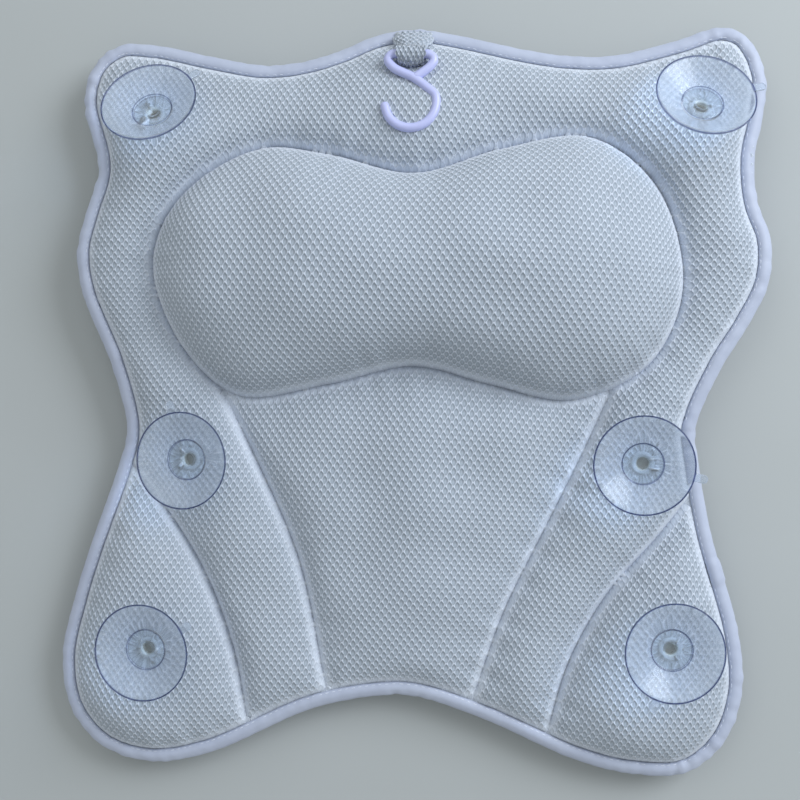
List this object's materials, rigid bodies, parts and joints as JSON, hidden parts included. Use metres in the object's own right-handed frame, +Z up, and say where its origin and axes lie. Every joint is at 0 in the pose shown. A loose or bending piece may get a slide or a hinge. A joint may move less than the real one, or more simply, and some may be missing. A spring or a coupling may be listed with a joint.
{
  "type": "bath pillow",
  "caption": "Butterfly-shaped mesh bath pillow with a bean-shaped neck roll, quilted pads, bound edge, clear suction cups and a plastic hook in a fabric loop.",
  "frame": {"origin": "centre of the pillow's length and width, on the surface that its soft front lies on", "axes": "+X to the pillow's right as its back is seen, +Y along its length towards the hanging loop, +Z up out of its back, the side with the suction cups"},
  "size_m": [0.3716, 0.4006, 0.0664],
  "materials": {
    "spacer_mesh": "matte",
    "soft_fill": "matte",
    "satin_tape": "satin",
    "eyelet_thread": "matte",
    "hook_plastic": "gloss",
    "cup_vinyl": "gloss"
  },
  "bodies": {
    "pillow": {"back_cover": "spacer_mesh", "front_cover": "spacer_mesh", "neck_roll_fill": "soft_fill", "frame_fill": "soft_fill", "centre_fill": "soft_fill", "left_wing_fill": "soft_fill", "right_wing_fill": "soft_fill", "edge_binding": "satin_tape", "hanging_loop": "spacer_mesh", "eyelet_upper_left": "eyelet_thread", "eyelet_upper_right": "eyelet_thread", "eyelet_middle_left": "eyelet_thread", "eyelet_middle_right": "eyelet_thread", "eyelet_lower_left": "eyelet_thread", "eyelet_lower_right": "eyelet_thread"},
    "cup_upper_left": {"suction_cup_upper_left": "cup_vinyl"},
    "cup_upper_right": {"suction_cup_upper_right": "cup_vinyl"},
    "cup_middle_left": {"suction_cup_middle_left": "cup_vinyl"},
    "cup_middle_right": {"suction_cup_middle_right": "cup_vinyl"},
    "cup_lower_left": {"suction_cup_lower_left": "cup_vinyl"},
    "cup_lower_right": {"suction_cup_lower_right": "cup_vinyl"},
    "hook": {"s_hook": "hook_plastic"}
  },
  "joints": [
    {"name": "upper_left_cup_spin", "type": "hinge", "parent": "pillow", "child": "cup_upper_left", "pos_m": [-0.13759, 0.14481, 0.03699], "axis": [-0.0515, 0.4195, 0.9063], "continuous": true},
    {"name": "upper_right_cup_spin", "type": "hinge", "parent": "pillow", "child": "cup_upper_right", "pos_m": [0.14418, 0.15184, 0.03529], "axis": [0.0879, 0.4134, 0.9063], "continuous": true},
    {"name": "middle_left_cup_spin", "type": "hinge", "parent": "pillow", "child": "cup_middle_left", "pos_m": [-0.11311, -0.03489, 0.03262], "axis": [-0.1843, -0.0494, 0.9816], "continuous": true},
    {"name": "middle_right_cup_spin", "type": "hinge", "parent": "pillow", "child": "cup_middle_right", "pos_m": [0.12099, -0.02846, 0.03218], "axis": [-0.0523, -0.0905, 0.9945], "continuous": true},
    {"name": "lower_left_cup_spin", "type": "hinge", "parent": "pillow", "child": "cup_lower_left", "pos_m": [-0.13166, -0.13458, 0.03204], "axis": [-0.0856, -0.06, 0.9945], "continuous": true},
    {"name": "lower_right_cup_spin", "type": "hinge", "parent": "pillow", "child": "cup_lower_right", "pos_m": [0.1375, -0.12172, 0.03153], "axis": [0.0755, -0.0436, 0.9962], "continuous": true},
    {"name": "hook_swing", "type": "hinge", "parent": "pillow", "child": "hook", "pos_m": [-0.00382, 0.17864, 0.03678], "axis": [-1, 0, 0], "range_deg": [0, 180]}
  ]
}
